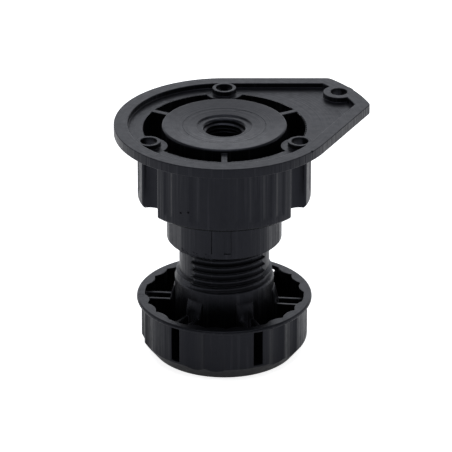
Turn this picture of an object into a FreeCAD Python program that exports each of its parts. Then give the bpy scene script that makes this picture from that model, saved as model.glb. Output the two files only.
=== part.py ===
"""Adjustable cabinet leg: a mounting socket, the threaded sleeve plugged into it, and a screw foot.

Millimetres, +Z up. The origin is on the leg's axis, on the floor under the foot.
"""
import FreeCAD, Part
import math
import os

import Sketcher

VECTOR = FreeCAD.Vector

SIZES = {
    # Heights and the plate
    "leg_height": 61.05,
    "plate_thickness": 2.5,
    "plate_radius": 27.1,
    "tip_radius": 37.7,
    "tip_edge_angle": -27.0,
    "tip_back_corner_radius": 2.0,
    "tip_front_corner_radius": 1.8,
    "rim_width": 3.4,
    "tip_rim_width": 3.7,
    "recess_depth": 1.25,
    # Screw bosses on the plate
    "boss_count": 3,
    "boss_circle_radius": 21.2,
    "boss_radius": 2.95,
    "screw_hole_radius": 2.05,
    "corner_boss_distance": 34.0,
    "corner_boss_angle": 33.25,
    "corner_boss_radius": 3.9,
    # Collar under the plate, with its screw channels and grip flutes
    "collar_radius": 21.35,
    "collar_height": 17.15,
    "collar_wall": 1.3,
    "collar_edge_chamfer": 0.6,
    "channel_radius": 3.5,
    "channel_wall": 1.2,
    "channel_lip_radius": 0.5,
    "rib_thickness": 1.5,
    "gap_edge_chamfer": 0.8,
    "grip_pitch_angle": 10.0,
    "grip_radius": 3.6,
    "grip_depth": 0.34,
    "grip_plain_band": 2.0,
    "grip_run_out": 1.4,
    # Central disc with the stud thread
    "disc_radius": 15.4,
    "disc_drop": 0.3,
    "disc_thickness": 3.0,
    "disc_edge_chamfer": 0.6,
    "counterbore_radius": 6.8,
    "counterbore_depth": 0.35,
    "stud_hole_radius": 5.0,
    "stud_hole_chamfer": 0.4,
    "stud_boss_radius": 7.5,
    "stud_boss_depth": 3.7,
    # Threaded sleeve
    "sleeve_radius": 14.2,
    "sleeve_bore_radius": 12.3,
    "sleeve_fit": 0.05,
    "sleeve_below_collar": 11.0,
    "sleeve_chamfer": 0.3,
    "sleeve_flat_depth": 0.25,
    "tongue_rise": 1.7,
    "tongue_length": 9.5,
    "tongue_line_left": -3.2,
    "tongue_line_width": 0.2,
    "tongue_line_depth": 0.7,
    "tongue_notch_left": -0.1,
    "tongue_notch_width": 1.7,
    "tongue_notch_depth": 0.3,
    # Foot cup
    "cup_height": 14.6,
    "cup_wall_radius": 20.6,
    "cup_bevel_height": 3.6,
    "cup_base_radius": 17.7,
    "cup_floor": 3.6,
    "lip_radius": 21.75,
    "lip_thickness": 0.9,
    "lip_edge_chamfer": 0.3,
    "cup_inner_radius": 19.75,
    "lobe_depth": 0.9,
    "cup_flute_depth": 0.7,
    "cup_ridge_width": 0.5,
    "rib_pair_count": 6,
    "foot_turn": 54.0,
    "slot_width": 2.4,
    "slot_bottom": 4.1,
    "slot_height": 9.3,
    "foot_rib_thickness": 0.9,
    "foot_rib_drop": 1.4,
    # Hub and threaded stem of the foot
    "hub_radius": 12.3,
    "hub_height": 20.0,
    "hub_chamfer": 0.3,
    "buttress_radius": 13.4,
    "buttress_half_width": 2.2,
    "buttress_height": 17.1,
    "buttress_edge_radius": 0.7,
    "stem_clearance": 0.2,
    "stem_height": 44.0,
    "stem_chamfer": 1.0,
    "stem_core_radius": 9.0,
    "stem_relief_count": 2,
    "stem_relief_radius": 11.15,
    "stem_relief_bottom": 20.2,
    "stem_relief_run_out": 2.0,
    "stem_relief_angle": 132.5,
    "stem_relief_half_angle": 40.0,
}

LOBES_PER_SECTOR = 3
GRIP_FLUTES_PER_ARC = 9
OUTSIDE = 5.0  # how far a cutting tool reaches past the solid that it cuts

doc = FreeCAD.newDocument("cabinet_leg")
sheet = doc.addObject("Spreadsheet::Sheet", "Dims")
for row, (alias, number) in enumerate(SIZES.items(), start=1):
    sheet.set(f"A{row}", alias)
    sheet.set(f"B{row}", str(number))
    sheet.setAlias(f"B{row}", alias)
doc.recompute()


class Size:
    """An expression on the sheet's cells, with its present value."""

    def __init__(self, text, value):
        self.text = text
        self.value = value

    def __add__(self, other):
        return join(self, "+", other, self.value + number_of(other))

    def __sub__(self, other):
        return join(self, "-", other, self.value - number_of(other))

    def __mul__(self, other):
        return join(self, "*", other, self.value * number_of(other))

    def __truediv__(self, other):
        return join(self, "/", other, self.value / number_of(other))

    def __neg__(self):
        return self * -1


def number_of(item):
    return item.value if isinstance(item, Size) else float(item)


def text_of(item):
    return item.text if isinstance(item, Size) else f"({float(item)})"


def join(left, sign, right, value):
    return Size(f"({text_of(left)} {sign} {text_of(right)})", value)


def dim(alias):
    return Size(f"Dims.{alias}", float(sheet.get(alias)))


def root(size):
    return Size(f"sqrt({size.text})", math.sqrt(size.value))


def cosine(angle):
    return Size(f"cos({text_of(angle)})", math.cos(math.radians(number_of(angle))))


def sine(angle):
    return Size(f"sin({text_of(angle)})", math.sin(math.radians(number_of(angle))))


def polar(radius, angle):
    """The point at this radius and angle about the leg's axis."""
    return (radius * cosine(angle), radius * sine(angle))


def on_circle(radius, offset):
    """How far along a line the circle of this radius is, for a line that passes the centre at offset."""
    return root(radius * radius - offset * offset)


def mirrored(point, angle):
    """The point reflected in the line through the axis at this angle."""
    x, y = point
    return (
        x * cosine(angle * 2) + y * sine(angle * 2),
        x * sine(angle * 2) - y * cosine(angle * 2),
    )


def new_body(label):
    body = doc.addObject("PartDesign::Body", label)
    body.Label = label
    return body


def datum(body, role):
    return next(f for f in body.Origin.OriginFeatures if f.Role == role)


def new_sketch(body, name, plane="XY_Plane", offset=None, turned=None):
    """A sketch on one of the body's own planes, moved along its normal or turned about its upright."""
    sketch = body.newObject("Sketcher::SketchObject", name)
    sketch.AttachmentSupport = [(datum(body, plane), "")]
    sketch.MapMode = "FlatFace"
    if offset is not None:
        sketch.AttachmentOffset = FreeCAD.Placement(VECTOR(0, 0, offset.value), FreeCAD.Rotation())
        sketch.setExpression("AttachmentOffset.Base.z", offset.text)
    if turned is not None:
        rotation = FreeCAD.Rotation(VECTOR(0, 1, 0), turned.value)
        sketch.AttachmentOffset = FreeCAD.Placement(VECTOR(), rotation)
        sketch.setExpression("AttachmentOffset.Rotation.Angle", turned.text)
    return sketch


def bind(sketch, kind, *where, size):
    """Add a dimension to the sketch and bind it to the sheet."""
    index = sketch.addConstraint(Sketcher.Constraint(kind, *where, number_of(size)))
    sketch.setExpression(f"Constraints[{index}]", text_of(size))


ORIGIN = (-1, 1)


def pin(sketch, edge, end, point):
    """Hold one end of an edge, or a circle's centre, at a point given by two sizes."""
    bind(sketch, "DistanceX", *ORIGIN, edge, end, size=point[0])
    bind(sketch, "DistanceY", *ORIGIN, edge, end, size=point[1])


def add_circle(sketch, centre, radius):
    x, y = (number_of(c) for c in centre)
    edge = sketch.addGeometry(Part.Circle(VECTOR(x, y, 0), VECTOR(0, 0, 1), radius.value))
    pin(sketch, edge, 3, centre)
    bind(sketch, "Radius", edge, size=radius)


def arc_between(start, end, radius, side):
    """The arc from start to end: the short one that bows right (side 1) or left (side -1) of that way,
    or the long one about the axis (side 0)."""
    chord = end - start
    to_left = VECTOR(-chord.y, chord.x, 0).normalize()
    drop = math.sqrt(max(radius * radius - chord.Length ** 2 / 4, 0.0))
    centre = VECTOR() if side == 0 else (start + end) / 2 + to_left * (drop * side)
    first, last = (end, start) if side == -1 else (start, end)
    circle = Part.Circle(centre, VECTOR(0, 0, 1), radius)
    return Part.ArcOfCircle(circle, bearing(first - centre), bearing(last - centre))


def bearing(arrow):
    return math.atan2(arrow.y, arrow.x)


def add_outline(sketch, corners):
    """A closed outline. Each corner is (point, bend), and bend shapes the edge that leaves the corner:

    None for a line, (radius, 1) or (radius, -1) for an arc that bows right or left,
    and (radius, 0) for the long arc about the axis.
    """
    places = [VECTOR(number_of(x), number_of(y), 0) for (x, y), _ in corners]
    edges = []
    for place, (_, bend), following in zip(places, corners, places[1:] + places[:1]):
        if bend is None:
            shape = Part.LineSegment(place, following)
        else:
            shape = arc_between(place, following, bend[0].value, bend[1])
        edges.append(sketch.addGeometry(shape))
    ends = [(edge_end(sketch, e, p), edge_end(sketch, e, q))
            for e, p, q in zip(edges, places, places[1:] + places[:1])]
    for i, (point, bend) in enumerate(corners):
        sketch.addConstraint(Sketcher.Constraint(
            "Coincident", edges[i - 1], ends[i - 1][1], edges[i], ends[i][0]))
        pin(sketch, edges[i], ends[i][0], point)
        if bend is not None:
            bind(sketch, "Radius", edges[i], size=bend[0])


def edge_end(sketch, edge, place):
    """1 if the edge starts at this place, 2 if it ends there."""
    shape = sketch.Geometry[edge]
    return 1 if (shape.StartPoint - place).Length < (shape.EndPoint - place).Length else 2


def straight(*points):
    return [(point, None) for point in points]


def extrude(body, kind, sketch, length, name, reverse=False):
    """A Pad or a Pocket of this length. A pocket cuts against the sketch's normal unless reversed."""
    feature = body.newObject(f"PartDesign::{kind}", name)
    feature.Profile = sketch
    feature.setExpression("Length", length.text)
    feature.Reversed = reverse
    return feature


def turn(body, kind, sketch, name, angle=None):
    """A Revolution or a Groove about the leg's axis: a full turn, or this angle astride the sketch."""
    feature = body.newObject(f"PartDesign::{kind}", name)
    feature.Profile = sketch
    feature.ReferenceAxis = (sketch, ["V_Axis"])
    feature.Angle = 360
    if angle is not None:
        feature.setExpression("Angle", angle.text)
        feature.Midplane = True
    return feature


def repeat(body, feature, count, name):
    pattern = body.newObject("PartDesign::PolarPattern", name)
    pattern.Originals = [feature]
    pattern.Axis = (datum(body, "Z_Axis"), [""])
    pattern.Angle = 360
    pattern.setExpression("Occurrences", count.text)
    body.Tip = pattern
    return pattern


def ease_edges(body, kind, wanted, size, name):
    """A Fillet or a Chamfer of this size on those edges of the body so far that wanted accepts."""
    doc.recompute()
    base = body.Tip
    names = [f"Edge{i}" for i, edge in enumerate(base.Shape.Edges, start=1) if wanted(edge)]
    feature = body.newObject(f"PartDesign::{kind}", name)
    feature.Base = (base, names)
    feature.setExpression("Radius" if kind == "Fillet" else "Size", size.text)
    body.Tip = feature


def is_upright(edge):
    """A straight edge along Z."""
    ends = edge.Vertexes
    return len(ends) == 2 and (ends[0].Point - ends[1].Point).cross(VECTOR(0, 0, 1)).Length < 1e-6


def near(value, size, slack=1e-3):
    return abs(value - number_of(size)) < slack


leg_height = dim("leg_height")
plate_bottom = leg_height - dim("plate_thickness")
recess_floor = leg_height - dim("recess_depth")
collar_bottom = plate_bottom - dim("collar_height")
disc_top = leg_height - dim("disc_drop")
disc_bottom = disc_top - dim("disc_thickness")
sleeve_bottom = collar_bottom - dim("sleeve_below_collar")
sleeve_seat_radius = dim("sleeve_radius") + dim("sleeve_fit")
stem_radius = dim("sleeve_bore_radius") - dim("stem_clearance")
zero = Size("(0.0)", 0.0)


def teardrop(radius, tip_radius):
    """A circle drawn out to a blunt tip: two lines touch the circle and an arc closes the end."""
    angle = dim("tip_edge_angle")
    reach = on_circle(tip_radius, radius)
    front_touch = polar(radius, angle)
    front_corner = (
        front_touch[0] - reach * sine(angle),
        front_touch[1] + reach * cosine(angle),
    )
    return [
        ((zero, radius), (radius, 0)),
        (front_touch, None),
        (front_corner, (tip_radius, 1)),
        ((reach, radius), None),
    ]


def make_plate(body):
    sketch = new_sketch(body, "plate_outline", offset=plate_bottom)
    add_outline(sketch, teardrop(dim("plate_radius"), dim("tip_radius")))
    extrude(body, "Pad", sketch, dim("plate_thickness"), "plate")

    def is_corner(back):
        def wanted(edge):
            place = edge.Vertexes[0].Point
            at_tip = near(math.hypot(place.x, place.y), dim("tip_radius"))
            return is_upright(edge) and at_tip and near(place.y, dim("plate_radius")) == back
        return wanted

    ease_edges(body, "Fillet", is_corner(True), dim("tip_back_corner_radius"), "tip_back_corner")
    ease_edges(body, "Fillet", is_corner(False), dim("tip_front_corner_radius"), "tip_front_corner")


def make_collar(body):
    """The solid drum under the plate, which the gaps, channels and bore are then cut from."""
    edge = dim("collar_edge_chamfer")
    radius = dim("collar_radius")
    sketch = new_sketch(body, "collar_section", "XZ_Plane")
    add_outline(sketch, straight(
        (zero, collar_bottom),
        (radius - edge, collar_bottom),
        (radius, collar_bottom + edge),
        (radius, plate_bottom),
        (zero, plate_bottom),
    ))
    turn(body, "Revolution", sketch, "collar")


def make_grip(body):
    """Upright flutes on the collar between the channels, which run out on a plain band at its foot."""
    radius = dim("collar_radius")
    depth = dim("grip_depth")
    tool_distance = radius - depth + dim("grip_radius")
    middle_angle = Size("(90 + 180 / Dims.boss_count)", 90 + 180 / number_of(dim("boss_count")))
    sketch = new_sketch(body, "grip_outline", offset=plate_bottom)
    for i in range(GRIP_FLUTES_PER_ARC):
        angle = middle_angle + dim("grip_pitch_angle") * (i - (GRIP_FLUTES_PER_ARC - 1) / 2)
        add_circle(sketch, polar(tool_distance, angle), dim("grip_radius"))
    flutes = extrude(body, "Pocket", sketch, dim("collar_height"), "grip_flutes")
    repeat(body, flutes, dim("boss_count"), "grip")

    edge = dim("collar_edge_chamfer")
    wall = dim("collar_wall")
    band_top = collar_bottom + dim("grip_plain_band")
    band = new_sketch(body, "band_section", "XZ_Plane")
    add_outline(band, straight(
        (radius - wall, collar_bottom),
        (radius - edge, collar_bottom),
        (radius, collar_bottom + edge),
        (radius, band_top),
        (radius - wall, band_top + dim("grip_run_out") * wall / depth),
    ))
    turn(body, "Revolution", band, "band")


def make_recess(body):
    """The sunk face inside the rim, round the central disc."""
    sketch = new_sketch(body, "recess_outline", offset=leg_height)
    inner = dim("plate_radius") - dim("rim_width")
    add_outline(sketch, teardrop(inner, dim("tip_radius") - dim("tip_rim_width")))
    add_circle(sketch, (zero, zero), dim("disc_radius"))
    extrude(body, "Pocket", sketch, dim("recess_depth"), "recess")


def make_gaps(body):
    """The open ring between the disc and the collar, crossed by ribs and by the channels' walls."""
    half_rib = dim("rib_thickness") / 2
    inner = dim("disc_radius")
    outer = dim("collar_radius") - dim("collar_wall")
    wall = dim("channel_radius") + dim("channel_wall")
    centre = dim("boss_circle_radius")
    bulge_y = (outer * outer - wall * wall + centre * centre) / (centre * 2)
    bulge_x = on_circle(outer, bulge_y)
    boss_angle = 90
    rib_angle = Size("(90 - 180 / Dims.boss_count)", 90 - 180 / number_of(dim("boss_count")))
    along_inner = on_circle(inner, half_rib)
    along_outer = on_circle(outer, half_rib)

    def beside_rib(along):
        x = along * cosine(rib_angle) - half_rib * sine(rib_angle)
        y = along * sine(rib_angle) + half_rib * cosine(rib_angle)
        return (x, y)

    first_inner = beside_rib(along_inner)
    first_outer = beside_rib(along_outer)
    mid_plane = Size(str(float(boss_angle)), float(boss_angle))
    sketch = new_sketch(body, "gap_outline", offset=recess_floor)
    add_outline(sketch, [
        (first_inner, None),
        (first_outer, (outer, 1)),
        ((bulge_x, bulge_y), (wall, -1)),
        ((-bulge_x, bulge_y), (outer, 1)),
        (mirrored(first_outer, mid_plane), None),
        (mirrored(first_inner, mid_plane), (inner, -1)),
    ])
    gap = extrude(body, "Pocket", sketch, recess_floor - collar_bottom, "gap")
    repeat(body, gap, dim("boss_count"), "gaps")

    def is_outer_edge(edge):
        places = [edge.valueAt(p) for p in (edge.FirstParameter, edge.LastParameter)]
        places.append(edge.valueAt((edge.FirstParameter + edge.LastParameter) / 2))
        return all(near(p.z, recess_floor) and near(math.hypot(p.x, p.y), outer) for p in places)

    ease_edges(body, "Chamfer", is_outer_edge, dim("gap_edge_chamfer"), "gap_edges")


def make_core(body):
    """The disc's top, the stud hole and the seat for the sleeve, cut in one turn."""
    edge = dim("disc_edge_chamfer")
    radius = dim("disc_radius")
    hole = dim("stud_hole_radius")
    chamfer = dim("stud_hole_chamfer")
    ledge = disc_top - dim("counterbore_depth")
    boss_bottom = disc_bottom - dim("stud_boss_depth")
    sketch = new_sketch(body, "core_section", "XZ_Plane")
    add_outline(sketch, straight(
        (zero, leg_height + OUTSIDE),
        (zero, collar_bottom - OUTSIDE),
        (sleeve_seat_radius, collar_bottom - OUTSIDE),
        (sleeve_seat_radius, disc_bottom),
        (dim("stud_boss_radius"), disc_bottom),
        (dim("stud_boss_radius"), boss_bottom),
        (hole, boss_bottom),
        (hole, ledge - chamfer),
        (hole + chamfer, ledge),
        (dim("counterbore_radius"), ledge),
        (dim("counterbore_radius"), disc_top),
        (radius - edge, disc_top),
        (radius, disc_top - edge),
        (radius, leg_height + OUTSIDE),
    ))
    turn(body, "Groove", sketch, "core")


def make_channels(body):
    """The screw channels under the bosses, open downwards and, between rounded lips, to the outside."""
    centre = dim("boss_circle_radius")
    channel = dim("channel_radius")
    collar = dim("collar_radius")
    lip = dim("channel_lip_radius")
    from_axis = collar - lip
    from_centre = channel + lip
    lip_y = (from_axis * from_axis - from_centre * from_centre + centre * centre) / (centre * 2)
    lip_x = on_circle(from_axis, lip_y)
    inner_x = lip_x * channel / from_centre
    inner_y = centre + (lip_y - centre) * channel / from_centre
    outer_x = lip_x * collar / from_axis
    outer_y = lip_y * collar / from_axis
    sketch = new_sketch(body, "channel_outline", offset=plate_bottom)
    add_outline(sketch, [
        ((zero, centre - channel), (channel, 1)),
        ((inner_x, inner_y), (lip, -1)),
        ((outer_x, outer_y), None),
        ((outer_x, collar + OUTSIDE), None),
        ((-outer_x, collar + OUTSIDE), None),
        ((-outer_x, outer_y), (lip, -1)),
        ((-inner_x, inner_y), (channel, 1)),
    ])
    cut = extrude(body, "Pocket", sketch, dim("collar_height"), "channel")
    repeat(body, cut, dim("boss_count"), "channels")


def make_bosses(body):
    """The screw bosses round the plate and the one in its corner, flush with the rim."""
    holes = [
        ((zero, dim("boss_circle_radius")), dim("boss_radius"), "ring", dim("boss_count")),
        (polar(dim("corner_boss_distance"), dim("corner_boss_angle")),
         dim("corner_boss_radius"), "corner", None),
    ]
    for centre, radius, name, count in holes:
        outline = new_sketch(body, f"{name}_boss_outline", offset=recess_floor)
        add_circle(outline, centre, radius)
        boss = extrude(body, "Pad", outline, dim("recess_depth"), f"{name}_boss")
        if count is not None:
            repeat(body, boss, count, f"{name}_bosses")
        hole_outline = new_sketch(body, f"{name}_hole_outline", offset=leg_height)
        add_circle(hole_outline, centre, dim("screw_hole_radius"))
        hole = extrude(body, "Pocket", hole_outline, dim("plate_thickness"), f"{name}_hole")
        if count is not None:
            repeat(body, hole, count, f"{name}_holes")


def make_socket():
    body = new_body("mounting_socket")
    make_plate(body)
    make_collar(body)
    make_grip(body)
    make_recess(body)
    make_gaps(body)
    make_core(body)
    make_channels(body)
    make_bosses(body)
    return body


def make_sleeve():
    """The sleeve that carries the foot's thread, with flats and the marks of a tongue on its wall."""
    body = new_body("threaded_sleeve")
    outer = dim("sleeve_radius")
    inner = dim("sleeve_bore_radius")
    chamfer = dim("sleeve_chamfer")
    section = new_sketch(body, "sleeve_section", "XZ_Plane")
    add_outline(section, straight(
        (inner + chamfer, sleeve_bottom),
        (outer - chamfer, sleeve_bottom),
        (outer, sleeve_bottom + chamfer),
        (outer, disc_bottom),
        (inner, disc_bottom),
        (inner, sleeve_bottom + chamfer),
    ))
    turn(body, "Revolution", section, "tube")

    depth = outer - dim("sleeve_flat_depth")
    flat = new_sketch(body, "flat_outline", offset=disc_bottom)
    add_outline(flat, straight(
        (-outer, depth),
        (outer, depth),
        (outer, outer + OUTSIDE),
        (-outer, outer + OUTSIDE),
    ))
    cut = extrude(body, "Pocket", flat, disc_bottom - sleeve_bottom, "flat")
    repeat(body, cut, dim("boss_count"), "flats")

    low = sleeve_bottom + dim("tongue_rise")
    high = low + dim("tongue_length")
    for name in ("tongue_line", "tongue_notch"):
        left = dim(f"{name}_left")
        right = left + dim(f"{name}_width")
        depth = dim(f"{name}_depth")
        mark = new_sketch(body, f"{name}_outline", "XZ_Plane", offset=outer - depth)
        add_outline(mark, straight((left, low), (right, low), (right, high), (left, high)))
        extrude(body, "Pocket", mark, depth + OUTSIDE, name, reverse=True)
    return body


def make_cup(body):
    """The foot's outside: a drum with a bevelled base and a thin lip, filled to the top."""
    lip = dim("lip_radius")
    edge = dim("lip_edge_chamfer")
    top = dim("cup_height")
    lip_bottom = top - dim("lip_thickness")
    sketch = new_sketch(body, "cup_section", "XZ_Plane")
    add_outline(sketch, straight(
        (zero, zero),
        (dim("cup_base_radius"), zero),
        (dim("cup_wall_radius"), dim("cup_bevel_height")),
        (dim("cup_wall_radius"), lip_bottom),
        (lip, lip_bottom),
        (lip, top - edge),
        (lip - edge, top),
        (zero, top),
    ))
    turn(body, "Revolution", sketch, "cup")


def make_sectors(body):
    """The open sectors of the cup. Between ridges the wall bows inwards in lobes."""
    hub = dim("hub_radius")
    wall = dim("cup_inner_radius")
    rib_face = dim("slot_width") / 2 + dim("foot_rib_thickness")
    half_sector = Size("(180 / Dims.rib_pair_count)", 180 / number_of(dim("rib_pair_count")))
    pitch = half_sector * 2 / (LOBES_PER_SECTOR + 1)
    half_chord = wall * sine(pitch / 2)
    rise = dim("lobe_depth") - wall + wall * cosine(pitch / 2)
    lobe_radius = (half_chord * half_chord + rise * rise) / (rise * 2)
    first_inner = (on_circle(hub, rib_face), rib_face)
    first_outer = (on_circle(wall, rib_face), rib_face)
    corners = [(first_inner, None), (first_outer, (wall, 1))]
    for i in range(LOBES_PER_SECTOR + 1):
        last = i == LOBES_PER_SECTOR
        bend = (wall, 1) if last else (lobe_radius, -1)
        corners.append((polar(wall, pitch * (i + 0.5)), bend))
    corners.append((mirrored(first_outer, half_sector), None))
    corners.append((mirrored(first_inner, half_sector), (hub, -1)))
    sketch = new_sketch(body, "sector_outline", offset=dim("cup_height"))
    add_outline(sketch, corners)
    sector = extrude(body, "Pocket", sketch, dim("cup_height") - dim("cup_floor"), "sector")
    repeat(body, sector, dim("rib_pair_count"), "sectors")


def make_rib_pairs(body):
    """The narrow channel inside each pair of ribs, the ribs' lowered tops and the slot outside them."""
    hub = dim("hub_radius")
    wall = dim("cup_inner_radius")
    half_slot = dim("slot_width") / 2
    rib_face = half_slot + dim("foot_rib_thickness")
    cuts = [
        ("rib_channel", half_slot, dim("cup_height") - dim("cup_floor")),
        ("rib_top", rib_face, dim("foot_rib_drop")),
    ]
    for name, half_width, depth in cuts:
        near_hub = on_circle(hub, half_width)
        near_wall = on_circle(wall, half_width)
        sketch = new_sketch(body, f"{name}_outline", offset=dim("cup_height"))
        add_outline(sketch, [
            ((near_hub, -half_width), None),
            ((near_wall, -half_width), (wall, 1)),
            ((near_wall, half_width), None),
            ((near_hub, half_width), (hub, -1)),
        ])
        cut = extrude(body, "Pocket", sketch, depth, name)
        repeat(body, cut, dim("rib_pair_count"), f"{name}s")

    low = dim("slot_bottom")
    high = low + dim("slot_height")
    start = (hub + wall) / 2
    slot_outline = new_sketch(body, "slot_outline", "YZ_Plane", offset=start)
    add_outline(slot_outline, straight(
        (-half_slot, low), (half_slot, low), (half_slot, high), (-half_slot, high)))
    slot = extrude(body, "Pocket", slot_outline, dim("lip_radius") - start + OUTSIDE, "slot", reverse=True)
    repeat(body, slot, dim("rib_pair_count"), "slots")


def make_cup_flutes(body):
    """Hollow flutes on the outside of the cup, with narrow ridges between them."""
    wall = dim("cup_wall_radius")
    half_sector = Size("(180 / Dims.rib_pair_count)", 180 / number_of(dim("rib_pair_count")))
    pitch = half_sector * 2 / (LOBES_PER_SECTOR + 1)
    half_chord = wall * sine(pitch / 2) - dim("cup_ridge_width") / 2
    rise = on_circle(wall, half_chord) - wall + dim("cup_flute_depth")
    radius = (half_chord * half_chord + rise * rise) / (rise * 2)
    distance = wall - dim("cup_flute_depth") + radius
    lip_bottom = dim("cup_height") - dim("lip_thickness")
    sketch = new_sketch(body, "cup_flute_outline", offset=lip_bottom)
    for i in range(LOBES_PER_SECTOR):
        add_circle(sketch, polar(distance, pitch * (i + 1)), radius)
    flutes = extrude(body, "Pocket", sketch, lip_bottom, "cup_flute")
    repeat(body, flutes, dim("rib_pair_count"), "cup_flutes")


def make_stem(body):
    """The hub and the threaded stem, with the two smooth reliefs that interrupt its thread."""
    hub = dim("hub_radius")
    hub_top = dim("hub_height")
    stem_top = dim("stem_height")
    chamfer = dim("stem_chamfer")
    core = dim("stem_core_radius")
    floor = dim("cup_floor")
    section = new_sketch(body, "stem_section", "XZ_Plane")
    add_outline(section, straight(
        (core, floor),
        (hub, floor),
        (hub, hub_top - dim("hub_chamfer")),
        (stem_radius, hub_top),
        (stem_radius, stem_top - chamfer),
        (stem_radius - chamfer, stem_top),
        (core, stem_top),
    ))
    turn(body, "Revolution", section, "stem")

    relief = dim("stem_relief_radius")
    low = dim("stem_relief_bottom")
    beyond = stem_radius + OUTSIDE
    outline = new_sketch(body, "stem_relief_section", "XZ_Plane", turned=dim("stem_relief_angle"))
    add_outline(outline, straight(
        (relief, low + dim("stem_relief_run_out")),
        (stem_radius, low),
        (beyond, low),
        (beyond, stem_top + OUTSIDE),
        (relief, stem_top + OUTSIDE),
    ))
    cut = turn(body, "Groove", outline, "stem_relief", angle=dim("stem_relief_half_angle") * 2)
    repeat(body, cut, dim("stem_relief_count"), "stem_reliefs")


def make_buttresses(body):
    """A buttress with rounded corners on the hub over each pair of ribs."""
    half = dim("buttress_half_width")
    reach = dim("buttress_radius")
    corner = dim("buttress_edge_radius")
    inner = (dim("stem_core_radius") + dim("hub_radius")) / 2
    floor = dim("cup_floor")
    sketch = new_sketch(body, "buttress_outline", offset=floor)
    add_outline(sketch, [
        ((inner, -half), None),
        ((reach - corner, -half), (corner, 1)),
        ((reach, corner - half), None),
        ((reach, half - corner), (corner, 1)),
        ((reach - corner, half), None),
        ((inner, half), None),
    ])
    post = extrude(body, "Pad", sketch, dim("buttress_height") - floor, "buttress")
    repeat(body, post, dim("rib_pair_count"), "buttresses")


def make_core_hole(body):
    """The hollow inside the stem, open at its top."""
    floor = dim("cup_floor")
    sketch = new_sketch(body, "stem_core_outline", offset=dim("stem_height"))
    add_circle(sketch, (zero, zero), dim("stem_core_radius"))
    extrude(body, "Pocket", sketch, dim("stem_height") - floor, "stem_core")


def make_foot():
    body = new_body("screw_foot")
    make_cup(body)
    make_sectors(body)
    make_rib_pairs(body)
    make_cup_flutes(body)
    make_stem(body)
    make_buttresses(body)
    make_core_hole(body)
    body.Placement = FreeCAD.Placement(VECTOR(), FreeCAD.Rotation(VECTOR(0, 0, 1), dim("foot_turn").value))
    body.setExpression("Placement.Rotation.Angle", dim("foot_turn").text)
    return body


pieces = [make_socket(), make_sleeve(), make_foot()]
doc.recompute()

for item in doc.Objects:
    faults = {"Invalid", "Error"} & set(item.State)
    if faults:
        raise RuntimeError(f"{item.Label} failed: {item.State}")
for piece in pieces:
    if piece.Shape.isNull() or not piece.Shape.isValid():
        raise RuntimeError(f"{piece.Label} has no valid shape")

os.makedirs("parts", exist_ok=True)
for piece in pieces:
    piece.Shape.exportStep(f"parts/{piece.Label}.step")
    box = piece.Shape.BoundBox
    print(f"{piece.Label}: {len(piece.Shape.Solids)} solid, {piece.Shape.Volume:.1f} mm3,"
          f" z {box.ZMin:.2f} to {box.ZMax:.2f}")
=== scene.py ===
"""Looks of the adjustable cabinet leg: rounded moulding edges, cut threads, marks and satin black plastic.

Metres, +Z up. The origin is on the leg's axis, on the floor under the foot.
"""
import math
import random

import bmesh
import bpy
from mathutils import Matrix, Vector


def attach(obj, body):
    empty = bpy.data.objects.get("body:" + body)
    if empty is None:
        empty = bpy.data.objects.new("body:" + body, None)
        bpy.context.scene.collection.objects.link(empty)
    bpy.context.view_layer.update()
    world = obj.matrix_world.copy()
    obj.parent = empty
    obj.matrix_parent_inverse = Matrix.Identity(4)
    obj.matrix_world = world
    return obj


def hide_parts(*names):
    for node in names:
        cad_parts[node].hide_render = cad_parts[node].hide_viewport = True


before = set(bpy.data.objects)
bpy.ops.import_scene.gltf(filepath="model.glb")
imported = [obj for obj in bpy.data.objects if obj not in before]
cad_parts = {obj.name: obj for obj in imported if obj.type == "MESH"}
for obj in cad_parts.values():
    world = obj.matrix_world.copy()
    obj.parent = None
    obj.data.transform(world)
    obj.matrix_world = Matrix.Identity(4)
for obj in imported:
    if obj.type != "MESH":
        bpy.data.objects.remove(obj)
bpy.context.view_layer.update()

MM = 0.001

# Camera, from the photograph's 452 by 452 frame
PHOTO_SIZE = 452.0
FOCAL_PIXELS = 5020.0
ORIGIN_PIXEL = (224.1, 345.1)
CAMERA_DISTANCE = 1.255
CAMERA_ELEVATION = 27.03
SENSOR_WIDTH = 36.0

# Rounded moulding edges
WELD_DISTANCE = 0.001 * MM
FLAT_ANGLE = 0.5
SHARP_ANGLE = 35.0
CREST_ANGLE = 48.0
BROAD_ROUND = 0.18 * MM
FINE_ROUND = 0.07 * MM

# Steps of a full turn in threads, circles and turned cutters
STEPS_PER_TURN = 64

# Thread on the foot's stem, with its run-out as a share of a turn
STEM_RADIUS = 12.1 * MM
STEM_THREAD_DEPTH = 0.8 * MM
STEM_PITCH = 1.84 * MM
STEM_THREAD_LOW = 20.57 * MM
STEM_THREAD_HIGH = 43.4 * MM
STEM_THREAD_START = 180.0
STEM_RUN_OUT = 0.25
LOW_TURNS = 0.92
LOW_TURNS_RUN_OUT = 0.2

# Thread in the stud hole
STUD_RADIUS = 5.0 * MM
STUD_THREAD_DEPTH = 0.5 * MM
STUD_PITCH = 1.0 * MM
STUD_THREAD_LOW = 56.1 * MM
STUD_THREAD_HIGH = 59.1 * MM
STUD_THREAD_START = 0.0
STUD_RUN_OUT = 0.35

# Smallest height of a faded thread section, so that it never folds flat
SLIVER = 0.02 * MM

# Disc and gap of the socket, in millimetres: the chamfers of the solid, the crisper edge and the hollow face
MATCH_SLACK = 0.02
DISC_TOP = 60.75
DISC_RADIUS = 15.4
DISC_CHAMFER = 0.6
DISC_EDGE = 0.35
HOLLOW_RADIUS = 6.8
HOLLOW_DEPTH = 0.62
HOLLOW_FLOOR = 59.5
GAP_TOP = 59.8
GAP_RADIUS = 20.05
GAP_CHAMFER = 0.8

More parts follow.
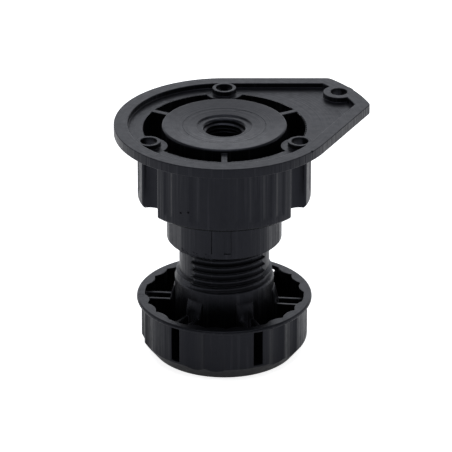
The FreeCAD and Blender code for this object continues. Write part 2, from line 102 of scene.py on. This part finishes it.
# Fine marks, seen in the photograph, in millimetres and degrees; a groove is (half width, depth)
WITNESS_RADIUS = 10.2
WITNESS_GROOVE = (0.09, 0.07)
SCRATCH = ((2.4, 8.5), (3.6, 8.9), (5.0, 8.7), (6.1, 8.1), (6.9, 7.2))
SCRATCH_GROOVE = (0.16, 0.1)
COLLAR_RADIUS = 21.35
COLLAR_PITS = ((240.3, 45.5), (245.8, 46.0))
PIT_RADIUS = 0.3
PLATE_RADIUS = 27.1
PLATE_TOP = 61.05
NICK_ANGLE = -38.0
NICK_RADIUS = 0.45
CUP_TOP = 14.6
BUTTRESS_SLOPE = ((12.4, 17.4), (13.5, 17.4), (13.5, 13.3))
EJECTOR_MARK = (-20.75, -1.5)
EJECTOR_RADIUS = 0.7
EJECTOR_GROOVE = (0.1, 0.08)
LINE_HALF_WIDTH = 0.06
LINE_DEPTH = 0.15
LINE_CLEARANCE = 0.2
CUP_WALL_RADIUS = 20.6
PARTING_ANGLE = 256.0
PARTING_HEIGHTS = (3.9, 13.6)
SLEEVE_RADIUS = 14.2
SLEEVE_BOTTOM = 30.4
TONGUE_EDGE_ANGLE = 277.0
TONGUE_EDGE_HEIGHTS = (31.2, 41.6)

# Crumbs of flash on the sleeve's lower edge, in millimetres and degrees, and their shares of a ball
FLASH_SEED = 7
FLASH_COUNT = 46
FLASH_ANGLES = (221.0, 258.0)
FLASH_LOW = 0.15
FLASH_RISE = 1.2
FLASH_SIZES = (0.1, 0.24)
FLASH_THICKNESS = 0.45
FLASH_WIDTHS = (0.8, 2.2)
FLASH_HEIGHTS = (0.6, 1.1)

# Black plastic, with fine streaks down the walls that are paler where a painted highlight is laid on them; a
# noise is (scale, detail)
PLASTIC_SLOTS = ("socket_plastic", "sleeve_plastic", "foot_plastic")
PLASTIC_DARK = (0.0018, 0.0019, 0.0024)
PLASTIC_PALE = (0.0034, 0.0035, 0.0043)
PLASTIC_IOR = 1.33
PLASTIC_TINT = (0.80, 0.83, 1.0, 1.0)
PLASTIC_ROUGHNESS = (0.29, 0.41)
NOISE_RANGE = (0.3, 0.7)
CLOUD_NOISE = (160.0, 3.0)
GLOSS_NOISE = (700.0, 4.0)
GRAIN_NOISE = (5000.0, 2.0)
GRAIN_DEPTH = 0.005 * MM
STREAK_NOISE = (1100.0, 3.0)
STREAK_STRETCH = (1.0, 1.0, 0.03)
STREAK_DEPTH = 0.16 * MM
RING_NOISE = (1500.0, 3.0)
RING_DEPTH = 0.03 * MM
# Paler base colour of the painted highlight streaks on the walls, and the noise range where they show
PAINTED_HIGHLIGHT = (0.013, 0.013, 0.015)
PAINTED_HIGHLIGHT_RANGE = (0.57, 0.68)

# White floor: its glow to the camera and in reflections, which are darker ahead and near the foot
FLOOR_HALF = 3.0
FLOOR_CLEARANCE = 0.01 * MM
FLOOR_COLOUR = (0.85, 0.85, 0.85, 1.0)
FLOOR_ROUGHNESS = 0.9
FLOOR_GLOW = 0.85
SHEEN_AHEAD = 0.45
SHEEN_ASIDE = 0.52
SHEEN_NEAR = -0.1
ASIDE_RANGE = (0.25, 0.9)
ASIDE_REACH = (0.035, 0.11)
SHADE_REACH = (0.021, 0.032)
SHADE_LEFT = 0.4

# Area lights, each with its place, size and radiance, and the even light of the sky
WHITE = (1.0, 1.0, 1.0, 1.0)
SKY_STRENGTH = 0.2
LIGHT_COLOUR = (0.91, 0.935, 1.0)
LIGHT_TARGET = (0.0, 0.0, 0.03)
LIGHTS = (
    ("top_light", (0.0, 0.05, 1.6), (1.3, 1.8), 1.7),
    ("back_light", (0.0, 1.8, 0.45), (3.0, 0.8), 1.2),
    ("upper_back_light", (0.0, 1.5, 1.05), (2.6, 0.8), 0.75),
    ("left_light", (-1.4, 0.2, 0.35), (0.8, 0.6), 1.5),
    ("right_light", (1.4, 0.2, 0.35), (0.8, 0.6), 1.5),
)


def new_object(name, data):
    """An object in the scene with the given mesh, light or camera."""
    made = bpy.data.objects.new(name, data)
    bpy.context.scene.collection.objects.link(made)
    return made


def mesh_from(name, points, faces):
    mesh = bpy.data.meshes.new(name)
    mesh.from_pydata(points, [], faces)
    mesh.update()
    return mesh


def swept_mesh(name, rings, closed=False):
    """A skin through rings of points, capped at its ends unless it closes on itself."""
    count = len(rings[0])
    faces = []
    for first in range(len(rings) if closed else len(rings) - 1):
        second = (first + 1) % len(rings)
        for i in range(count):
            j = (i + 1) % count
            faces.append((first * count + i, first * count + j, second * count + j, second * count + i))
    if not closed:
        faces.append(tuple(range(count))[::-1])
        faces.append(tuple((len(rings) - 1) * count + i for i in range(count)))
    mesh = mesh_from(name, [point for ring in rings for point in ring], faces)
    built = bmesh.new()
    built.from_mesh(mesh)
    if built.calc_volume(signed=True) < 0:
        bmesh.ops.reverse_faces(built, faces=built.faces)
    built.to_mesh(mesh)
    built.free()
    return mesh


def around(radius, angle, height):
    """A place on a circle about the leg's axis."""
    return (radius * math.cos(angle), radius * math.sin(angle), height)


def turn_angles():
    """Even angles round a full turn."""
    return [2 * math.pi * step / STEPS_PER_TURN for step in range(STEPS_PER_TURN)]


def helix_mesh(name, section, pitch, low, high, start, run_out):
    """A sweep of a section along a helix about the leg's axis.

    Each point of the section is (radius at the ends, height, full radius), and the radius changes over
    the run-out at each end, given as a share of a turn.
    """
    turns = (high - low) / pitch
    rings = []
    for step in range(int(turns * STEPS_PER_TURN) + 1):
        turned = step / STEPS_PER_TURN
        fade = max(0.0, min(1.0, turned / run_out, (turns - turned) / run_out))
        angle = math.radians(start) + 2 * math.pi * turned
        rings.append([
            around(end + (full - end) * fade, angle, low + turned * pitch + height)
            for end, height, full in section])
    return swept_mesh(name, rings)


def disc_height(radius):
    """Height of the disc's slightly hollow face, in millimetres."""
    outer = DISC_RADIUS - DISC_EDGE
    return DISC_TOP - HOLLOW_DEPTH * (outer - radius) / (outer - HOLLOW_RADIUS)


def near(value, target):
    return abs(value - target) < MATCH_SLACK


def reshape_socket(built):
    """Crisper edges on the disc and the gap, and the disc's hollow face, as the photograph shows them."""
    for vertex in built.verts:
        x, y, z = vertex.co / MM
        reach = math.hypot(x, y)
        scale = 1.0
        if near(z, DISC_TOP) and near(reach, DISC_RADIUS - DISC_CHAMFER):
            scale = (DISC_RADIUS - DISC_EDGE) / reach
        elif near(z, DISC_TOP - DISC_CHAMFER) and near(reach, DISC_RADIUS):
            z = DISC_TOP - DISC_EDGE
        elif near(z, GAP_TOP) and near(reach, GAP_RADIUS + GAP_CHAMFER):
            scale = GAP_RADIUS / reach
        elif near(z, GAP_TOP - GAP_CHAMFER) and near(reach, GAP_RADIUS):
            z = GAP_TOP
        elif reach < HOLLOW_RADIUS + MATCH_SLACK and z > HOLLOW_FLOOR:
            z -= HOLLOW_DEPTH
        vertex.co = Vector((x * scale, y * scale, z)) * MM


def rounded_copy(node_name, piece_name, rounding, reshape=None):
    """A copy of a node's mesh, reshaped if asked, with flat faces joined up and sharp edges rounded."""
    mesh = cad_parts[node_name].data.copy()
    mesh.name = piece_name
    built = bmesh.new()
    built.from_mesh(mesh)
    bmesh.ops.remove_doubles(built, verts=built.verts, dist=WELD_DISTANCE)
    if reshape is not None:
        reshape(built)
        bmesh.ops.remove_doubles(built, verts=built.verts, dist=WELD_DISTANCE)
    bmesh.ops.dissolve_limit(
        built, angle_limit=math.radians(FLAT_ANGLE), verts=built.verts, edges=built.edges)
    sharp = [e for e in built.edges if e.calc_face_angle(0.0) > math.radians(SHARP_ANGLE)]
    bmesh.ops.bevel(
        built, geom=sharp, offset=rounding, offset_type="OFFSET", segments=2, profile=0.5,
        affect="EDGES", clamp_overlap=False)
    for face in built.faces:
        face.smooth = True
    built.to_mesh(mesh)
    built.free()
    return new_object(piece_name, mesh)


def cut(piece, cutter):
    """Take the cutter away from the piece, and delete the cutter."""
    change = piece.modifiers.new("cut", "BOOLEAN")
    change.operation = "DIFFERENCE"
    change.solver = "EXACT"
    change.object = cutter
    graph = bpy.context.evaluated_depsgraph_get()
    made = bpy.data.meshes.new_from_object(piece.evaluated_get(graph), depsgraph=graph)
    piece.modifiers.clear()
    piece.data = made
    bpy.data.objects.remove(cutter)


def even_shading(piece):
    """Shade large faces flat and let the rounded edges carry the turn."""
    shading = piece.modifiers.new("shading", "WEIGHTED_NORMAL")
    shading.mode = "FACE_AREA_WITH_ANGLE"
    shading.keep_sharp = True


def stem_cutter():
    """The groove between the turns of the stem's thread, which runs out of the stem at both ends."""
    root = STEM_RADIUS - STEM_THREAD_DEPTH
    mouth = STEM_RADIUS + 0.1 * MM
    clear = STEM_RADIUS + 0.3 * MM
    outside = STEM_RADIUS + 0.5 * MM
    half_mouth = 0.79 * MM
    half_root = 0.5 * MM
    section = [
        (outside, -half_mouth, outside),
        (outside, half_mouth, outside),
        (clear, half_mouth, mouth),
        (clear, half_root, root),
        (clear, -half_root, root),
        (clear, -half_mouth, mouth),
    ]
    return new_object("stem_cutter", helix_mesh(
        "stem_cutter", section, STEM_PITCH, STEM_THREAD_LOW, STEM_THREAD_HIGH, STEM_THREAD_START,
        STEM_RUN_OUT))


def low_turns():
    """The lowest turns of the stem's thread, which carry on across its two reliefs."""
    inside = STEM_RADIUS - 1.3 * MM
    crest = STEM_RADIUS - 0.15 * MM
    half_base = 0.72 * MM
    half_crest = 0.1 * MM
    section = [
        (inside, -half_base, inside),
        (inside + SLIVER, -half_crest, crest),
        (inside + SLIVER, half_crest, crest),
        (inside, half_base, inside),
    ]
    low = STEM_THREAD_LOW + STEM_PITCH / 4
    high = low + LOW_TURNS * STEM_PITCH
    start = STEM_THREAD_START - 90.0
    return new_object("low_turns", helix_mesh(
        "low_turns", section, STEM_PITCH, low, high, start, LOW_TURNS_RUN_OUT))


def stud_thread():
    """The turns that stand in from the stud hole's wall."""
    wall = STUD_RADIUS + 0.1 * MM
    crest = STUD_RADIUS - STUD_THREAD_DEPTH
    half_base = 0.44 * MM
    half_crest = 0.08 * MM
    section = [
        (wall + SLIVER, half_base, wall + SLIVER),
        (wall, half_crest, crest),
        (wall, -half_crest, crest),
        (wall + SLIVER, -half_base, wall + SLIVER),
    ]
    return new_object("stud_thread", helix_mesh(
        "stud_thread", section, STUD_PITCH, STUD_THREAD_LOW, STUD_THREAD_HIGH, STUD_THREAD_START,
        STUD_RUN_OUT))


def groove_cutter(name, path, groove, closed=False):
    """A cutter for a fine V groove along a path on an upward face, in millimetres."""
    half_width, depth = groove
    rings = []
    last = len(path) - 1
    for i, place in enumerate(path):
        behind = path[i - 1] if closed or i > 0 else place
        ahead = path[(i + 1) % len(path)] if closed or i < last else place
        along = (Vector(ahead) - Vector(behind)).normalized()
        side = Vector((-along.y, along.x, 0)) * half_width
        lift = Vector((0, 0, half_width))
        point = Vector(place)
        ring = [point + side + lift, point - side + lift, point - Vector((0, 0, depth))]
        rings.append([corner * MM for corner in ring])
    return new_object(name, swept_mesh(name, rings, closed))


def circle_path(centre, radius, height):
    return [
        (centre[0] + radius * math.cos(angle), centre[1] + radius * math.sin(angle), height)
        for angle in turn_angles()]


def ball_cutter(name, place, radius):
    built = bmesh.new()
    bmesh.ops.create_icosphere(built, subdivisions=2, radius=radius * MM)
    mesh = bpy.data.meshes.new(name)
    built.to_mesh(mesh)
    built.free()
    made = new_object(name, mesh)
    made.location = Vector(place) * MM
    return made


def ring_cutter(name, section):
    """A cutter turned about the leg's axis from a section in millimetres."""
    rings = [
        [Vector(around(radius, angle, height)) * MM for radius, height in section]
        for angle in turn_angles()]
    return new_object(name, swept_mesh(name, rings, closed=True))


def line_cutter(name, radius, angle, heights):
    """A cutter for a fine upright line on a round wall, in millimetres and degrees."""
    middle = math.radians(angle)
    lean = LINE_HALF_WIDTH / radius
    rings = []
    for height in heights:
        ring = [
            around(radius + LINE_CLEARANCE, middle - lean, height),
            around(radius + LINE_CLEARANCE, middle + lean, height),
            around(radius - LINE_DEPTH, middle, height),
        ]
        rings.append([Vector(corner) * MM for corner in ring])
    return new_object(name, swept_mesh(name, rings))


def sleeve_flash():
    """Rough crumbs of moulding flash along the sleeve's lower edge."""
    chance = random.Random(FLASH_SEED)
    built = bmesh.new()
    for _ in range(FLASH_COUNT):
        angle = math.radians(chance.uniform(*FLASH_ANGLES))
        height = SLEEVE_BOTTOM + FLASH_LOW + FLASH_RISE * chance.random() ** 2
        size = chance.uniform(*FLASH_SIZES) * MM
        turn = Matrix.Rotation(angle, 4, "Z")
        width = chance.uniform(*FLASH_WIDTHS)
        tallness = chance.uniform(*FLASH_HEIGHTS)
        shape = Matrix.Diagonal((FLASH_THICKNESS, width, tallness, 1.0))
        place = Matrix.Translation(Vector(around(SLEEVE_RADIUS, angle, height)) * MM)
        bmesh.ops.create_icosphere(built, subdivisions=1, radius=size, matrix=place @ turn @ shape)
    mesh = bpy.data.meshes.new("sleeve_flash")
    built.to_mesh(mesh)
    built.free()
    return new_object("sleeve_flash", mesh)


def mark_socket(socket):
    """The disc's witness circle and scratch, the collar's pits and the nick in the plate's edge."""
    circle = circle_path((0.0, 0.0), WITNESS_RADIUS, disc_height(WITNESS_RADIUS))
    cut(socket, groove_cutter("witness_circle", circle, WITNESS_GROOVE, closed=True))
    scratch = [(x, y, disc_height(math.hypot(x, y))) for x, y in SCRATCH]
    cut(socket, groove_cutter("scratch", scratch, SCRATCH_GROOVE))
    for angle, height in COLLAR_PITS:
        cut(socket, ball_cutter("pit", around(COLLAR_RADIUS, math.radians(angle), height), PIT_RADIUS))
    nick = around(PLATE_RADIUS, math.radians(NICK_ANGLE), PLATE_TOP)
    cut(socket, ball_cutter("nick", nick, NICK_RADIUS))


def mark_sleeve(sleeve):
    """The right edge of the tongue in the sleeve's wall."""
    cut(sleeve, line_cutter("tongue_edge", SLEEVE_RADIUS, TONGUE_EDGE_ANGLE, TONGUE_EDGE_HEIGHTS))


def mark_foot(foot):
    """The foot's thread, its sloped buttress tops, its ejector mark and its parting line."""
    cut(foot, stem_cutter())
    cut(foot, ring_cutter("buttress_slope", BUTTRESS_SLOPE))
    circle = circle_path(EJECTOR_MARK, EJECTOR_RADIUS, CUP_TOP)
    cut(foot, groove_cutter("ejector_mark", circle, EJECTOR_GROOVE, closed=True))
    cut(foot, line_cutter("parting_line", CUP_WALL_RADIUS, PARTING_ANGLE, PARTING_HEIGHTS))
    foot.data.set_sharp_from_angle(angle=math.radians(CREST_ANGLE))


def math_node(tree, operation, first, second):
    """The result of a math node whose two inputs are plain numbers or other nodes' outputs."""
    made = tree.nodes.new("ShaderNodeMath")
    made.operation = operation
    for socket, value in zip(made.inputs, (first, second)):
        if isinstance(value, float):
            socket.default_value = value
        else:
            tree.links.new(value, socket)
    return made.outputs["Value"]


def map_range(tree, value, start, stop, low, high):
    """A value carried over from one range to another, and held inside it."""
    made = tree.nodes.new("ShaderNodeMapRange")
    made.inputs["From Min"].default_value = start
    made.inputs["From Max"].default_value = stop
    made.inputs["To Min"].default_value = low
    made.inputs["To Max"].default_value = high
    tree.links.new(value, made.inputs["Value"])
    return made.outputs["Result"]


def noise(tree, place, scale, detail):
    made = tree.nodes.new("ShaderNodeTexNoise")
    made.inputs["Scale"].default_value = scale
    made.inputs["Detail"].default_value = detail
    tree.links.new(place, made.inputs["Vector"])
    return made.outputs["Fac"]


def vector_length(tree, vector):
    made = tree.nodes.new("ShaderNodeVectorMath")
    made.operation = "LENGTH"
    tree.links.new(vector, made.inputs[0])
    return made.outputs["Value"]


def separated(tree, vector):
    """The X, Y and Z outputs of a vector."""
    made = tree.nodes.new("ShaderNodeSeparateXYZ")
    tree.links.new(vector, made.inputs["Vector"])
    return made.outputs


def bump(tree, height, depth, below=None):
    """A bump laid over the one below it, if there is one."""
    made = tree.nodes.new("ShaderNodeBump")
    made.inputs["Strength"].default_value = 1.0
    made.inputs["Distance"].default_value = depth
    tree.links.new(height, made.inputs["Height"])
    if below is not None:
        tree.links.new(below, made.inputs["Normal"])
    return made.outputs["Normal"]


def cloudy_shade(tree, place):
    """Black that drifts between its dark and pale shades."""
    made = tree.nodes.new("ShaderNodeValToRGB")
    shades = (PLASTIC_DARK, PLASTIC_PALE)
    for element, position, shade in zip(made.color_ramp.elements, NOISE_RANGE, shades):
        element.position = position
        element.color = (*shade, 1.0)
    tree.links.new(noise(tree, place, *CLOUD_NOISE), made.inputs["Fac"])
    return made.outputs["Color"]


def streak_noise(tree, place):
    """Noise drawn out into upright streaks."""
    upright = tree.nodes.new("ShaderNodeMapping")
    upright.inputs["Scale"].default_value = STREAK_STRETCH
    tree.links.new(place, upright.inputs["Vector"])
    return noise(tree, upright.outputs["Vector"], *STREAK_NOISE)


def ring_noise(tree, place):
    """Noise that changes only with the distance from the leg's axis, as on a turned face."""
    flat = tree.nodes.new("ShaderNodeVectorMath")
    flat.operation = "MULTIPLY"
    flat.inputs[1].default_value = (1.0, 1.0, 0.0)
    tree.links.new(place, flat.inputs[0])
    made = tree.nodes.new("ShaderNodeTexNoise")
    made.noise_dimensions = "1D"
    made.inputs["Scale"].default_value, made.inputs["Detail"].default_value = RING_NOISE
    tree.links.new(vector_length(tree, flat.outputs["Vector"]), made.inputs["W"])
    return made.outputs["Fac"]


def plastic(name):
    """Satin black moulding: cloudy shade, uneven gloss, fine grain, streaked walls with painted highlight
    lines, and ringed level faces.
    """
    material = bpy.data.materials.new(name)
    material.use_nodes = True
    tree = material.node_tree
    shader = tree.nodes["Principled BSDF"]
    shader.inputs["IOR"].default_value = PLASTIC_IOR
    shader.inputs["Specular Tint"].default_value = PLASTIC_TINT
    place = tree.nodes.new("ShaderNodeTexCoord").outputs["Object"]
    gloss = map_range(tree, noise(tree, place, *GLOSS_NOISE), *NOISE_RANGE, *PLASTIC_ROUGHNESS)
    tree.links.new(gloss, shader.inputs["Roughness"])

    facing = tree.nodes.new("ShaderNodeNewGeometry").outputs["True Normal"]
    level = math_node(tree, "ABSOLUTE", separated(tree, facing)["Z"], 0.0)
    walls = math_node(tree, "SUBTRACT", 1.0, level)
    streaks = streak_noise(tree, place)
    # Paler streaks laid into the base colour of upright faces only: painted highlight lines
    painted_highlight_mask = map_range(tree, streaks, *PAINTED_HIGHLIGHT_RANGE, 0.0, 1.0)
    painted_highlight = tree.nodes.new("ShaderNodeMix")
    painted_highlight.data_type = "RGBA"
    painted_highlight.inputs["B"].default_value = (*PAINTED_HIGHLIGHT, 1.0)
    tree.links.new(math_node(tree, "MULTIPLY", painted_highlight_mask, walls), painted_highlight.inputs["Factor"])
    tree.links.new(cloudy_shade(tree, place), painted_highlight.inputs["A"])
    tree.links.new(painted_highlight.outputs["Result"], shader.inputs["Base Color"])

    streaks_on_walls = math_node(tree, "MULTIPLY", streaks, walls)
    rings_on_tops = math_node(tree, "MULTIPLY", ring_noise(tree, place), level)
    grain = bump(tree, noise(tree, place, *GRAIN_NOISE), GRAIN_DEPTH)
    streaked = bump(tree, streaks_on_walls, STREAK_DEPTH, grain)
    ringed = bump(tree, rings_on_tops, RING_DEPTH, streaked)
    tree.links.new(ringed, shader.inputs["Normal"])
    return material


def wear(piece, material):
    piece.data.materials.clear()
    piece.data.materials.append(material)


def build_pieces():
    """The three mouldings, their threads and the flash, each on its body and with its slot."""
    socket = rounded_copy("mounting_socket", "socket_moulding", BROAD_ROUND, reshape_socket)
    sleeve = rounded_copy("threaded_sleeve", "sleeve_moulding", FINE_ROUND)
    foot = rounded_copy("screw_foot", "foot_moulding", BROAD_ROUND)
    mark_socket(socket)
    mark_sleeve(sleeve)
    mark_foot(foot)
    finishes = {slot: plastic(slot + "_look") for slot in PLASTIC_SLOTS}
    rows = [
        (socket, "socket", "mounting_socket", "socket_plastic"),
        (sleeve, "socket", "threaded_sleeve", "sleeve_plastic"),
        (foot, "foot", "screw_foot", "foot_plastic"),
        (stud_thread(), "socket", None, "socket_plastic"),
        (low_turns(), "foot", None, "foot_plastic"),
        (sleeve_flash(), "socket", None, "sleeve_plastic"),
    ]
    for piece, body, node, slot in rows:
        wear(piece, finishes[slot])
        even_shading(piece)
        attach(piece, body)
        if node is not None:
            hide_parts(node)


def floor_white():
    """White floor that glows to the camera, and less in reflections ahead of and close to the foot."""
    material = bpy.data.materials.new("floor_white")
    material.use_nodes = True
    tree = material.node_tree
    shader = tree.nodes["Principled BSDF"]
    shader.inputs["Base Color"].default_value = FLOOR_COLOUR
    shader.inputs["Roughness"].default_value = FLOOR_ROUGHNESS
    shader.inputs["Emission Color"].default_value = WHITE
    path = tree.nodes.new("ShaderNodeLightPath").outputs
    place = tree.nodes.new("ShaderNodeTexCoord").outputs["Object"]
    away = vector_length(tree, place)
    across = math_node(tree, "ABSOLUTE", separated(tree, place)["X"], 0.0)
    aside = map_range(tree, math_node(tree, "DIVIDE", across, away), *ASIDE_RANGE, 0.0, 1.0)
    gained = map_range(tree, away, *ASIDE_REACH, SHEEN_NEAR, SHEEN_ASIDE - SHEEN_AHEAD)
    sheen = math_node(tree, "ADD", math_node(tree, "MULTIPLY", aside, gained), SHEEN_AHEAD)
    shade = map_range(tree, away, *SHADE_REACH, SHADE_LEFT, 1.0)
    shaded = math_node(tree, "MULTIPLY", sheen, shade)
    mirrored = math_node(tree, "MULTIPLY", shaded, path["Is Glossy Ray"])
    seen = math_node(tree, "MULTIPLY", path["Is Camera Ray"], FLOOR_GLOW)
    tree.links.new(math_node(tree, "ADD", mirrored, seen), shader.inputs["Emission Strength"])
    return material


def add_stage():
    """The white floor, just under the foot, and an even sky."""
    corners = [
        (-FLOOR_HALF, -FLOOR_HALF, 0), (FLOOR_HALF, -FLOOR_HALF, 0),
        (FLOOR_HALF, FLOOR_HALF, 0), (-FLOOR_HALF, FLOOR_HALF, 0),
    ]
    floor = new_object("floor", mesh_from("floor", corners, [(0, 1, 2, 3)]))
    floor.location.z = -FLOOR_CLEARANCE
    floor.data.materials.append(floor_white())
    world = bpy.data.worlds.new("studio")
    bpy.context.scene.world = world
    world.use_nodes = True
    sky = world.node_tree.nodes["Background"]
    sky.inputs["Color"].default_value = WHITE
    sky.inputs["Strength"].default_value = SKY_STRENGTH


def add_lights():
    for name, place, size, radiance in LIGHTS:
        lamp = bpy.data.lights.new(name, "AREA")
        lamp.shape = "RECTANGLE"
        lamp.size, lamp.size_y = size
        lamp.energy = radiance * math.pi * size[0] * size[1]
        lamp.color = LIGHT_COLOUR
        made = new_object(name, lamp)
        made.location = place
        made.rotation_euler = (Vector(LIGHT_TARGET) - Vector(place)).to_track_quat("-Z", "Y").to_euler()


def add_camera():
    """The photograph's camera, turned so that the origin falls on its pixel."""
    data = bpy.data.cameras.new("photo_camera")
    data.sensor_width = SENSOR_WIDTH
    data.lens = SENSOR_WIDTH * FOCAL_PIXELS / PHOTO_SIZE
    camera = new_object("photo_camera", data)
    elevation = math.radians(CAMERA_ELEVATION)
    camera.location = CAMERA_DISTANCE * Vector((0, -math.cos(elevation), math.sin(elevation)))
    raised = math.atan((ORIGIN_PIXEL[1] - PHOTO_SIZE / 2) / FOCAL_PIXELS)
    turned = math.atan((PHOTO_SIZE / 2 - ORIGIN_PIXEL[0]) / FOCAL_PIXELS)
    tilt = Matrix.Rotation(math.pi / 2 - elevation + raised, 3, "X")
    aim = Matrix.Rotation(-turned, 3, "Z") @ tilt
    camera.rotation_euler = aim.to_euler()
    bpy.context.scene.camera = camera


build_pieces()
add_stage()
add_lights()
add_camera()
bpy.context.scene.view_settings.view_transform = "Standard"
